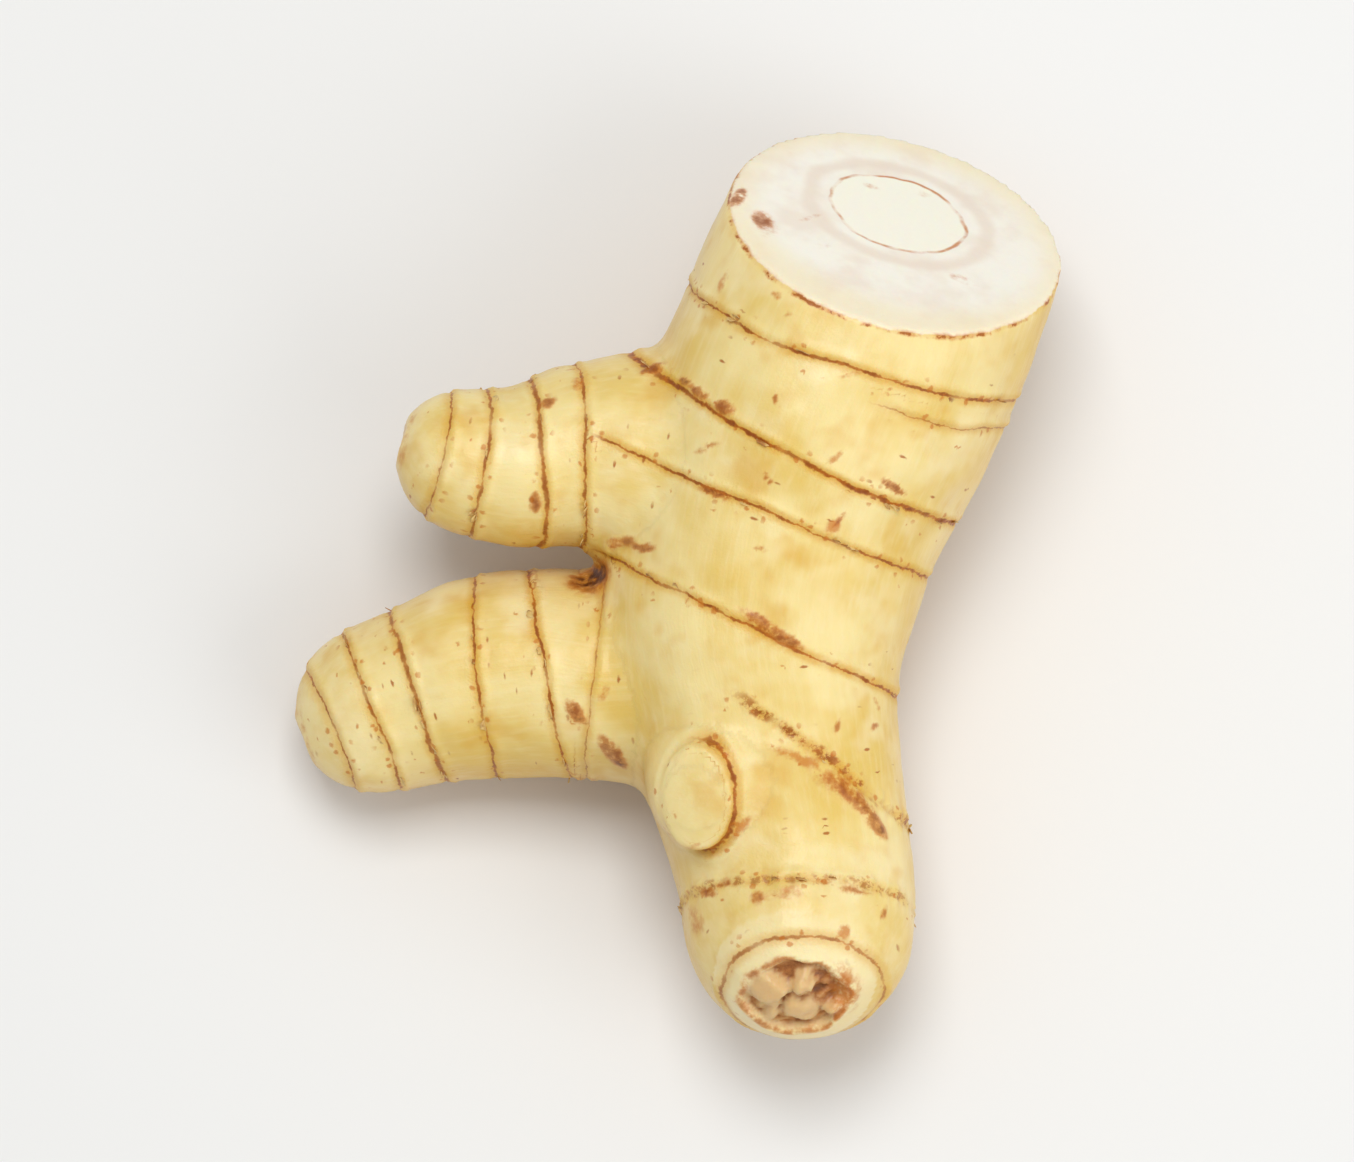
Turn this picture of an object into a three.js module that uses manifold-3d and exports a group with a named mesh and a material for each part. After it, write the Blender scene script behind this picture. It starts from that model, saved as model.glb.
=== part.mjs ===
// Galangal root: one branching piece of rhizome, cut from its clump and resting on its underside.
// A thick stem runs from a slanting cut face to a young finger, and carries two side shoots and a bud.
// Millimetres, +Z up. +Y runs towards the cut end and -X towards the two side shoots.
// The origin is under the middle of the piece's bounding box, on the surface that it rests on.
import * as THREE from "three";
import { mergeVertices } from "three/addons/utils/BufferGeometryUtils.js";
import Module from "manifold-3d";

const wasm = await Module();
wasm.setup();

// ---- Driving dimensions ----
const FACETS = 28; // sides of a shoot's cross-section
const ROWS_PER_STATION = 4;
const TIP_ROWS = 7;
const TIP_FULLNESS = 2.2; // 2 rounds a tip off as an ellipse, more makes it blunter
const SCAR_RIDGE = 0.025; // how far a leaf scar stands out, as a share of the girth
const SCAR_MARGIN = 0.008; // the share of the way, either side of a scar, with no other row
const UP = new THREE.Vector3(0, 0, 1);

// A station is the middle of a cross-section, with half its width across and half its depth.
const station = (x, y, z, halfWidth, halfDepth) => ({
  middle: new THREE.Vector3(x, y, z),
  halfWidth,
  halfDepth,
});

// Each shoot grows from its first station to its tip. leafScars are shares of the way to the tip.
const STEM = {
  stations: [
    station(27, 46, 28.5, 17, 16.4),
    station(22.5, 34.5, 25, 17.3, 17.3),
    station(18, 23.5, 21.5, 18, 18.7),
    station(13.5, 14, 18.8, 17.6, 19),
    station(10.3, 6, 17.3, 16.9, 17.5),
    station(7.8, -5, 15.8, 16.2, 16.1),
    station(8.5, -13.5, 14.6, 14.6, 14.9),
    station(10.3, -21.5, 13.8, 13.1, 14.1),
    station(11.6, -27.5, 14, 12.4, 13),
    station(12.3, -34, 15, 12.1, 12.1),
  ],
  tip: new THREE.Vector3(11.4, -44.5, 24),
  leafScars: [0.2, 0.28, 0.36, 0.45, 0.54, 0.69, 0.88, 0.94],
};
const UPPER_SHOOT = {
  stations: [
    station(7.5, 8.5, 19, 12.5, 12.5),
    station(-2.6, 11.2, 19.5, 11.9, 11),
    station(-10.2, 11.9, 20, 9.5, 9.5),
    station(-14.5, 10.7, 20.5, 8.6, 8.7),
    station(-20.2, 11, 20.8, 7.8, 7.8),
  ],
  tip: new THREE.Vector3(-28.5, 13.2, 21.6),
  leafScars: [0.4, 0.56, 0.72, 0.86],
};
const LOWER_SHOOT = {
  stations: [
    station(7.5, -10.3, 15, 10.8, 10.8),
    station(-2.6, -10, 13.5, 10.8, 10.9),
    station(-8, -9.9, 12.4, 10.8, 11.2),
    station(-14.5, -9.2, 11.4, 10.8, 11.2),
    station(-21.5, -10, 10.6, 10.3, 10.9),
    station(-28.7, -12, 9.6, 9.1, 9.8),
  ],
  tip: new THREE.Vector3(-38.6, -15.9, 9.5),
  leafScars: [0.36, 0.47, 0.6, 0.74, 0.88],
};
const BUD_SWELLING = {
  stations: [
    station(10, -18.2, 16, 8.6, 8.6),
    station(5.5, -20.6, 19.5, 8.3, 8.3),
  ],
  tip: new THREE.Vector3(1.6, -24.6, 28.3),
  leafScars: [],
};

// The bud's cap is a low dome, and the finger ends in the shallow scar of a lost shoot.
const BUD_CAP = {
  middle: new THREE.Vector3(2.2, -24.1, 26.8),
  halfSizes: new THREE.Vector3(4.4, 5.9, 2.6),
  faces: new THREE.Vector3(-0.36, -0.34, 0.87),
};
const TIP_SCAR = {
  middle: new THREE.Vector3(11.5, -45.4, 25.2),
  halfSizes: new THREE.Vector3(5, 4.4, 2.4),
  faces: new THREE.Vector3(-0.05, -0.7, 0.71),
};
const CUT_FACE = {
  middle: new THREE.Vector3(22.5, 34.5, 25),
  faces: new THREE.Vector3(0.245, 0.697, 0.675),
};
const CUTTER_SIZE = 120; // larger than anything that it has to take away

// ---- Geometry helpers ----

// A closed three.js geometry as a solid that can be joined and cut.
function solidOf(geometry) {
  const bare = geometry.clone();
  bare.deleteAttribute("normal");
  bare.deleteAttribute("uv");
  const merged = mergeVertices(bare, 1e-4);
  const corners = Array.from(merged.index.array);
  const triVerts = [];
  for (let i = 0; i < corners.length; i += 3) {
    const [a, b, c] = corners.slice(i, i + 3);
    if (a !== b && b !== c && c !== a) triVerts.push(a, b, c);
  }
  return new wasm.Manifold(
    new wasm.Mesh({
      numProp: 3,
      vertProperties: merged.attributes.position.array,
      triVerts: new Uint32Array(triVerts),
    }),
  );
}

// A solid's surface as a three.js geometry.
function geometryOf(solid) {
  const { vertProperties, triVerts } = solid.getMesh();
  const geometry = new THREE.BufferGeometry()
    .setAttribute("position", new THREE.BufferAttribute(vertProperties, 3))
    .setIndex(new THREE.BufferAttribute(triVerts, 1));
  geometry.computeVertexNormals();
  return geometry;
}

// How wide a shoot is at share t of its way, counting its full girth as 1: whole up to the last
// station, rounded off to nothing at the tip, and raised a little at each leaf scar.
function fullness(shoot, t, lastStation) {
  const intoTip = Math.max(0, (t - lastStation) / (1 - lastStation));
  const round = (1 - intoTip ** TIP_FULLNESS) ** (1 / TIP_FULLNESS);
  return shoot.leafScars.includes(t) ? round * (1 + SCAR_RIDGE) : round;
}

// The shares of the way at which a shoot has a row of facets: evenly spaced along its body, closer
// together towards its tip, and one on each leaf scar, in place of any that would crowd it.
function rowsOf(shoot) {
  const spans = shoot.stations.length;
  const lastStation = (spans - 1) / spans;
  const evenRows = (spans - 1) * ROWS_PER_STATION;
  const body = Array.from({ length: evenRows }, (_, i) => (i / evenRows) * lastStation);
  const tip = Array.from({ length: TIP_ROWS }, (_, i) => {
    return lastStation + (1 - lastStation) * Math.sin(((i / TIP_ROWS) * Math.PI) / 2);
  });
  const clearOfScars = (t) => shoot.leafScars.every((scar) => Math.abs(scar - t) > SCAR_MARGIN);
  return [...[...body, ...tip].filter(clearOfScars), ...shoot.leafScars].sort((a, b) => a - b);
}

// A shoot is turned as a straight spindle of unit girth, and then laid along its line of growth.
function shootGeometry(shoot) {
  const middles = shoot.stations.map((s) => s.middle);
  const girths = shoot.stations.map((s) => new THREE.Vector3(s.halfWidth, s.halfDepth, 0));
  const growth = new THREE.CatmullRomCurve3([...middles, shoot.tip], false, "catmullrom", 0.5);
  const girth = new THREE.CatmullRomCurve3(girths, false, "catmullrom", 0.5);
  const lastStation = (shoot.stations.length - 1) / shoot.stations.length;

  const side = rowsOf(shoot).map((t) => new THREE.Vector2(fullness(shoot, t, lastStation), t));
  const profile = [new THREE.Vector2(0, 0), ...side, new THREE.Vector2(0, 1)];
  const spindle = new THREE.LatheGeometry(profile, FACETS);

  const place = spindle.attributes.position;
  for (let i = 0; i < place.count; i += 1) {
    const t = place.getY(i);
    const forward = growth.getTangent(t);
    const across = new THREE.Vector3().crossVectors(forward, UP).normalize();
    const upward = new THREE.Vector3().crossVectors(across, forward);
    const half = girth.getPoint(Math.min(1, t / lastStation));
    const point = growth
      .getPoint(t)
      .addScaledVector(across, place.getX(i) * half.x)
      .addScaledVector(upward, place.getZ(i) * half.y);
    place.setXYZ(i, point.x, point.y, point.z);
  }
  return spindle;
}

// A geometry moved to a place, with its own +Z turned the way that the place faces.
function placed(geometry, { middle, faces }) {
  const turn = new THREE.Quaternion().setFromUnitVectors(UP, faces.clone().normalize());
  return geometry.applyQuaternion(turn).translate(middle.x, middle.y, middle.z);
}

// A low dome, or the hollow left when it is taken away.
function dome(feature) {
  const { x, y, z } = feature.halfSizes;
  return placed(new THREE.SphereGeometry(1, 24, 12).scale(x, y, z), feature);
}

// Everything beyond the knife's plane.
function beyondCut() {
  const block = new THREE.BoxGeometry(CUTTER_SIZE, CUTTER_SIZE, CUTTER_SIZE);
  return placed(block.translate(0, 0, CUTTER_SIZE / 2), CUT_FACE);
}

// Everything below the surface that the piece rests on, which presses small flats on its underside.
function belowSurface() {
  const block = new THREE.BoxGeometry(CUTTER_SIZE, CUTTER_SIZE, CUTTER_SIZE);
  return block.translate(0, 0, -CUTTER_SIZE / 2);
}

// ---- The one piece ----
function rhizome() {
  const shoots = [STEM, UPPER_SHOOT, LOWER_SHOOT, BUD_SWELLING].map((s) => solidOf(shootGeometry(s)));
  const grown = shoots.reduce((whole, shoot) => whole.add(shoot)).add(solidOf(dome(BUD_CAP)));
  const trimmed = [dome(TIP_SCAR), beyondCut(), belowSurface()];
  const cut = trimmed.reduce((whole, cutter) => whole.subtract(solidOf(cutter)), grown);

  const skin = new THREE.MeshStandardMaterial({ color: 0xe8cf86, roughness: 0.5, metalness: 0 });
  const mesh = new THREE.Mesh(geometryOf(cut), skin);
  mesh.name = "galangal_rhizome";
  return mesh;
}

const part = new THREE.Group();
part.name = "galangal_root";
part.add(rhizome());

export default part;
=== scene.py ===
"""A galangal rhizome, finished as a fresh piece of root that lies on a pale studio floor.

The rhizome is lofted shoot by shoot, grown together into one skin, cut with a knife's plane, and then
given its leaf scars, its bud, the scar at the finger's end and its blemishes. Shapes are worked in
millimetres and scaled to metres as each piece is finished.
"""

import logging
import math
import random
from dataclasses import dataclass
from enum import Enum

import bmesh
import bpy
import numpy as np
from mathutils import Matrix, Vector, noise
from mathutils.bvhtree import BVHTree


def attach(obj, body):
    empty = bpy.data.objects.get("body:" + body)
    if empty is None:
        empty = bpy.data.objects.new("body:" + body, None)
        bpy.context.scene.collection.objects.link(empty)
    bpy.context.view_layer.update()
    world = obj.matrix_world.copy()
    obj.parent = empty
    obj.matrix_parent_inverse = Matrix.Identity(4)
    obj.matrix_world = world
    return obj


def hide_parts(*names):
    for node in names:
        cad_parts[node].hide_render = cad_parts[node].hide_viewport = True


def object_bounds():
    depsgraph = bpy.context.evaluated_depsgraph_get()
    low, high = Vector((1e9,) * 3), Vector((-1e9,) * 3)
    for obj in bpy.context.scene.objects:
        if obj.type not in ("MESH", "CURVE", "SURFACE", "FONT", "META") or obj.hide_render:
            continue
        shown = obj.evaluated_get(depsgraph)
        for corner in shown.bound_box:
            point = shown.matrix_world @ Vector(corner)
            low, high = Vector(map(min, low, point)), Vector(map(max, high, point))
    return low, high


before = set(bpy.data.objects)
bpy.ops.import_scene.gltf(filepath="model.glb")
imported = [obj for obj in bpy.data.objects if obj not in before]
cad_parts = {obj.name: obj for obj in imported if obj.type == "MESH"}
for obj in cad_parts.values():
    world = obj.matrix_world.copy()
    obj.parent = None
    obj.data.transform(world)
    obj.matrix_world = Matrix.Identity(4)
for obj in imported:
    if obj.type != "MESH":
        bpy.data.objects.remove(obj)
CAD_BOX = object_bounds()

log = logging.getLogger("galangal")

MILLIMETRE = 0.001
BODY = "root"
NODE = "galangal_rhizome"

Point = tuple[float, float, float]
Colour = tuple[float, float, float, float]


def srgb(red: int, green: int, blue: int) -> Colour:
    """A screen colour as the linear colour that a shader takes.

    Args:
        red: Red, from 0 to 255.
        green: Green, from 0 to 255.
        blue: Blue, from 0 to 255.

    Returns:
        The colour with full alpha.
    """
    def linear(value: int) -> float:
        """One channel, from 0 to 255, as linear light."""
        share = value / 255
        return share / 12.92 if share <= 0.04045 else ((share + 0.055) / 1.055) ** 2.4

    return (linear(red), linear(green), linear(blue), 1.0)


def smooth_step(low: float, high: float, value: np.ndarray) -> np.ndarray:
    """A soft step from 0 at low to 1 at high; high may be the lower of the two."""
    share = np.clip((value - low) / (high - low), 0.0, 1.0)
    return share * share * (3.0 - 2.0 * share)


def bell(value: np.ndarray, width: float) -> np.ndarray:
    """A bell curve that is 1 at 0 and has fallen to about a third at the width."""
    return np.exp(-((value / width) ** 2))


def noise_field(places: np.ndarray, size: float, seed: float) -> np.ndarray:
    """Smooth noise in space.

    Args:
        places: Points, one a row, in millimetres.
        size: The size of the noise's lumps, in millimetres.
        seed: A shift that makes one field differ from the next.

    Returns:
        A value of about -1 to 1 for each point.
    """
    shift = Vector((seed, 2.3 * seed, 5.1 * seed))
    return np.array([noise.noise(Vector(place) / size + shift) for place in places])


@dataclass(frozen=True)
class Seat:
    """A flat place on the rhizome, with its own right, up and outward directions.

    Attributes:
        middle: Its middle, in millimetres.
        faces: The direction that it faces.
    """

    middle: Point
    faces: Point

    def directions(self) -> tuple[Vector, Vector, Vector]:
        """Its right, up and outward directions; right stays level."""
        outward = Vector(self.faces).normalized()
        right = Vector((1.0, 0.0, 0.0))
        right = (right - outward * right.dot(outward)).normalized()
        return right, outward.cross(right), outward

    def local(self, places: np.ndarray) -> tuple[np.ndarray, np.ndarray, np.ndarray]:
        """How far points lie to its right, above it and out from it."""
        offsets = places - np.array(self.middle)
        right, up, outward = (offsets @ np.array(axis) for axis in self.directions())
        return right, up, outward

    def matrix(self, half_sizes: Point) -> Matrix:
        """The transform that puts a unit shape on the seat with the given half sizes."""
        columns = [axis * size for axis, size in zip(self.directions(), half_sizes)]
        turn = Matrix(columns).transposed().to_4x4()
        return Matrix.Translation(self.middle) @ turn


@dataclass(frozen=True)
class Station:
    """A cross-section of a shoot: its middle, and half its width and depth, in millimetres."""

    middle: Point
    half_width: float
    half_depth: float


@dataclass(frozen=True)
class Shoot:
    """A shoot of the rhizome, which grows through its stations and rounds off at its tip."""

    stations: tuple[Station, ...]
    tip: Point
    sides: int = 48
    rows_per_station: int = 6
    tip_rows: int = 14
    tip_fullness: float = 2.2

    @staticmethod
    def _spline(points: list[Vector], share: float) -> Vector:
        """A point at a share of the way along a smooth curve through the given points."""
        last = len(points) - 1
        whole = min(int(share * last), last - 1)
        part = share * last - whole
        start, end = points[whole], points[whole + 1]
        before = points[whole - 1] if whole > 0 else 2 * start - end
        after = points[whole + 2] if whole + 2 <= last else 2 * end - start
        return 0.5 * (
            2 * start
            + (end - before) * part
            + (2 * before - 5 * start + 4 * end - after) * part**2
            + (3 * start - before - 3 * end + after) * part**3
        )

    def middle(self, share: float) -> Vector:
        """The middle of the shoot at a share of the way along it."""
        return self._spline([Vector(s.middle) for s in self.stations] + [Vector(self.tip)], share)

    def girth(self, share: float) -> Vector:
        """Half the width and half the depth of the shoot at a share of the way along it."""
        spans = len(self.stations)
        halves = [Vector((s.half_width, s.half_depth, 0.0)) for s in self.stations]
        half = self._spline(halves, min(1.0, share * spans / (spans - 1)))
        into_tip = max(0.0, share * spans - (spans - 1))
        roundness = max(0.0, 1.0 - into_tip**self.tip_fullness) ** (1.0 / self.tip_fullness)
        return half * roundness

    def section(self, share: float) -> Matrix:
        """The shoot's own frame there: across, up and forward unit directions, and its middle."""
        step = 1e-3
        ahead = self.middle(min(1.0, share + step)) - self.middle(max(0.0, share - step))
        forward = ahead.normalized()
        across = forward.cross(Vector((0.0, 0.0, 1.0))).normalized()
        turn = Matrix((across, across.cross(forward), forward)).transposed().to_4x4()
        return Matrix.Translation(self.middle(share)) @ turn

    def loft(self, bench: bmesh.types.BMesh) -> None:
        """Adds the shoot to a mesh as one closed spindle.

        Args:
            bench: The mesh that takes it.
        """
        spans = len(self.stations)
        body = [i / self.rows_per_station / spans for i in range((spans - 1) * self.rows_per_station)]
        tip = [(spans - 1 + math.sin(i / self.tip_rows * math.pi / 2)) / spans
               for i in range(self.tip_rows)]
        placing = [self._placing(share) for share in [*body, *tip, 0.9999]]

        ring = bmesh.ops.create_circle(bench, cap_ends=True, segments=self.sides, radius=1.0)["verts"]
        bmesh.ops.transform(bench, matrix=placing[0], verts=ring)
        edges = list({edge for vert in ring for edge in vert.link_edges})
        for last, following in zip(placing, placing[1:]):
            grown = bmesh.ops.extrude_edge_only(bench, edges=edges)["geom"]
            ring = [item for item in grown if isinstance(item, bmesh.types.BMVert)]
            edges = [item for item in grown if isinstance(item, bmesh.types.BMEdge)
                     and item.verts[0] in ring and item.verts[1] in ring]
            bmesh.ops.transform(bench, matrix=following @ last.inverted(), verts=ring)
        bmesh.ops.contextual_create(bench, geom=edges)

    def _placing(self, share: float) -> Matrix:
        """The transform that puts a unit circle where the shoot's section is."""
        half = self.girth(share)
        least = 0.02
        return self.section(share) @ Matrix.Diagonal((max(half.x, least), max(half.y, least), 1.0, 1.0))


STEM = Shoot(
    stations=(
        Station((27.0, 46.0, 28.5), 17.0, 16.4),
        Station((22.5, 34.5, 25.0), 17.3, 17.3),
        Station((18.0, 23.5, 21.5), 18.0, 18.7),
        Station((13.5, 14.0, 18.8), 17.6, 19.0),
        Station((10.3, 6.0, 17.3), 16.9, 17.5),
        Station((7.8, -5.0, 15.8), 16.2, 16.1),
        Station((8.5, -13.5, 14.6), 14.6, 14.9),
        Station((10.3, -21.5, 13.8), 13.1, 14.1),
        Station((11.6, -27.5, 14.0), 12.4, 13.0),
        Station((12.3, -34.0, 15.0), 12.1, 12.1),
    ),
    tip=(11.4, -44.5, 24.0),
)
UPPER_SHOOT = Shoot(
    stations=(
        Station((7.5, 8.5, 19.0), 12.5, 12.5),
        Station((-2.6, 11.2, 19.5), 11.9, 11.0),
        Station((-10.2, 11.9, 20.0), 9.5, 9.5),
        Station((-14.5, 10.7, 20.5), 8.6, 8.7),
        Station((-20.2, 11.0, 20.8), 7.8, 7.8),
    ),
    tip=(-28.5, 13.2, 21.6),
)
LOWER_SHOOT = Shoot(
    stations=(
        Station((7.5, -10.3, 15.0), 10.8, 10.8),
        Station((-2.6, -10.0, 13.5), 10.8, 10.9),
        Station((-8.0, -9.9, 12.4), 10.8, 11.2),
        Station((-14.5, -9.2, 11.4), 10.8, 11.2),
        Station((-21.5, -10.0, 10.6), 10.3, 10.9),
        Station((-28.7, -12.0, 9.6), 9.1, 9.8),
    ),
    tip=(-38.6, -15.9, 9.5),
)
BUD_SWELLING = Shoot(
    stations=(
        Station((10.0, -18.2, 16.0), 8.6, 8.6),
        Station((5.5, -20.6, 19.5), 8.3, 8.3),
    ),
    tip=(1.6, -24.6, 28.3),
)
SHOOTS = (STEM, UPPER_SHOOT, LOWER_SHOOT, BUD_SWELLING)

CUT = Seat(middle=(22.5, 34.5, 25.0), faces=(0.245, 0.697, 0.675))
BUD_CAP = Seat(middle=(2.2, -24.1, 26.8), faces=(-0.36, -0.34, 0.87))
BUD_CAP_HALF_SIZES = (4.1, 5.9, 2.2)
TIP_SCAR = Seat(middle=(11.5, -45.4, 25.2), faces=(-0.05, -0.7, 0.71))
TIP_SCAR_HALF_SIZES = (5.2, 4.5)


class ScarKind(Enum):
    """How a leaf scar looks: its line's half width in millimetres, and how torn it is from 0 to 1."""

    HAIRLINE = (0.09, 0.45)
    THIN = (0.14, 0.50)
    STRONG = (0.22, 0.35)
    FIBROUS = (0.50, 0.90)

    @property
    def half_width(self) -> float:
        """Half the width of its dark line."""
        return self.value[0]

    @property
    def raggedness(self) -> float:
        """How broken and torn it is."""
        return self.value[1]


@dataclass(frozen=True)
class LeafScar:
    """The line that a lost scale leaf left round a shoot.

    Attributes:
        seat: A plane through the line, which faces along the shoot.
        kind: How it looks.
        ink: How dark it is, from 0 to 1.
        reach: How far from the plane's middle it goes, in millimetres.
        wander: How far it strays from the plane, in millimetres.
        seed: The seed of its own noise.
        left_end: The X before which it fades out, in millimetres.
    """

    seat: Seat
    kind: ScarKind
    ink: float
    reach: float
    wander: float
    seed: float
    left_end: float = -100.0

    def distance(self, places: np.ndarray) -> np.ndarray:
        """How far points are from the line, along the shoot; positive ahead of it."""
        stray = noise_field(places, 9.0, self.seed) + 0.35 * noise_field(places, 2.2, self.seed + 7.0)
        return self.seat.local(places)[2] + self.wander * stray

    def presence(self, places: np.ndarray) -> np.ndarray:
        """How much of the line there is at each point, from 0 to 1."""
        away = np.linalg.norm(places - np.array(self.seat.middle), axis=1)
        left = smooth_step(self.left_end, self.left_end + 2.5, places[:, 0])
        return left * smooth_step(self.reach + 2.0, self.reach - 1.0, away)


def scar(middle: Point, faces: Point, kind: ScarKind, ink: float, reach: float, wander: float,
         left_end: float = -100.0) -> LeafScar:
    """A leaf scar whose seed comes from its place, so that no two are torn alike."""
    return LeafScar(Seat(middle, faces), kind, ink, reach, wander, sum(middle) * 0.37, left_end)


STEM_SCARS = (
    scar((17.7, 23.8, 21.7), (0.317, 0.875, 0.365), ScarKind.THIN, 0.85, 27.0, 0.45),
    scar((13.1, 13.5, 18.8), (0.462, 0.838, 0.289), ScarKind.STRONG, 1.00, 25.5, 0.50),
    scar((9.1, 7.0, 17.5), (0.390, 0.896, 0.211), ScarKind.THIN, 0.85, 24.5, 0.40, -9.0),
    scar((7.5, -5.0, 16.2), (0.426, 0.891, 0.157), ScarKind.THIN, 0.90, 23.0, 0.45, -9.2),
    scar((14.0, -19.5, 14.2), (0.557, 0.830, 0.005), ScarKind.FIBROUS, 0.75, 17.0, 0.60),
    scar((12.5, -34.4, 14.5), (0.038, 0.984, -0.174), ScarKind.FIBROUS, 0.45, 16.0, 0.80),
    scar((12.0, -42.5, 20.5), (-0.038, 0.857, -0.515), ScarKind.THIN, 0.60, 13.0, 0.35),
)
PART_SCARS = (
    scar((27.0, 14.5, 27.0), (0.300, 0.900, 0.310), ScarKind.HAIRLINE, 0.55, 12.0, 0.60),
    scar((-8.2, -9.9, 12.5), (0.995, -0.100, 0.000), ScarKind.HAIRLINE, 0.45, 13.0, 0.50),
)
UPPER_SHOOT_SCARS = (
    scar((-10.1, 11.9, 20.0), (0.990, 0.050, -0.100), ScarKind.THIN, 0.75, 11.5, 0.50),
    scar((-14.6, 10.8, 20.5), (0.985, 0.080, -0.120), ScarKind.STRONG, 0.75, 10.5, 0.55),
    scar((-20.3, 11.2, 20.9), (0.960, -0.100, -0.180), ScarKind.THIN, 0.70, 9.5, 0.45),
    scar((-24.4, 12.1, 21.3), (0.940, -0.200, -0.180), ScarKind.HAIRLINE, 0.70, 8.0, 0.40),
)
LOWER_SHOOT_SCARS = (
    scar((-13.1, -9.2, 11.5), (0.970, 0.180, 0.050), ScarKind.THIN, 0.85, 12.5, 0.60),
    scar((-19.4, -9.7, 10.9), (0.985, 0.100, 0.080), ScarKind.THIN, 0.80, 12.0, 0.60),
    scar((-26.4, -11.3, 10.0), (0.950, 0.290, 0.060), ScarKind.STRONG, 0.70, 12.0, 0.55),
    scar((-31.2, -13.0, 9.6), (0.930, 0.360, 0.030), ScarKind.THIN, 0.70, 10.5, 0.50),
    scar((-35.6, -14.8, 9.5), (0.920, 0.390, -0.020), ScarKind.HAIRLINE, 0.70, 8.0, 0.35),
)
LEAF_SCARS = STEM_SCARS + PART_SCARS + UPPER_SHOOT_SCARS + LOWER_SHOOT_SCARS


class Tone(Enum):
    """The tone of a blemish, and the name of the attribute that carries it to the shader."""

    ORANGE = "orange_stain"
    BROWN = "brown_stain"
    DARK = "dark_stain"


@dataclass(frozen=True)
class Blemish:
    """A stained place on the upper side, or a place of painted shade.

    Attributes:
        x: Where it is along X, in millimetres.
        y: Where it is along Y, in millimetres.
        length: Half its length, in millimetres.
        breadth: Half its breadth, in millimetres.
        turn: The direction of its length in degrees, anticlockwise from +X.
        tone: Its colour.
        strength: How strong it is, from 0 to 1.
        relief: How far it stands out of the skin, or sinks in below 0, in millimetres.
    """

    x: float
    y: float
    length: float
    breadth: float
    turn: float
    tone: Tone
    strength: float = 1.0
    relief: float = 0.0


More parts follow.
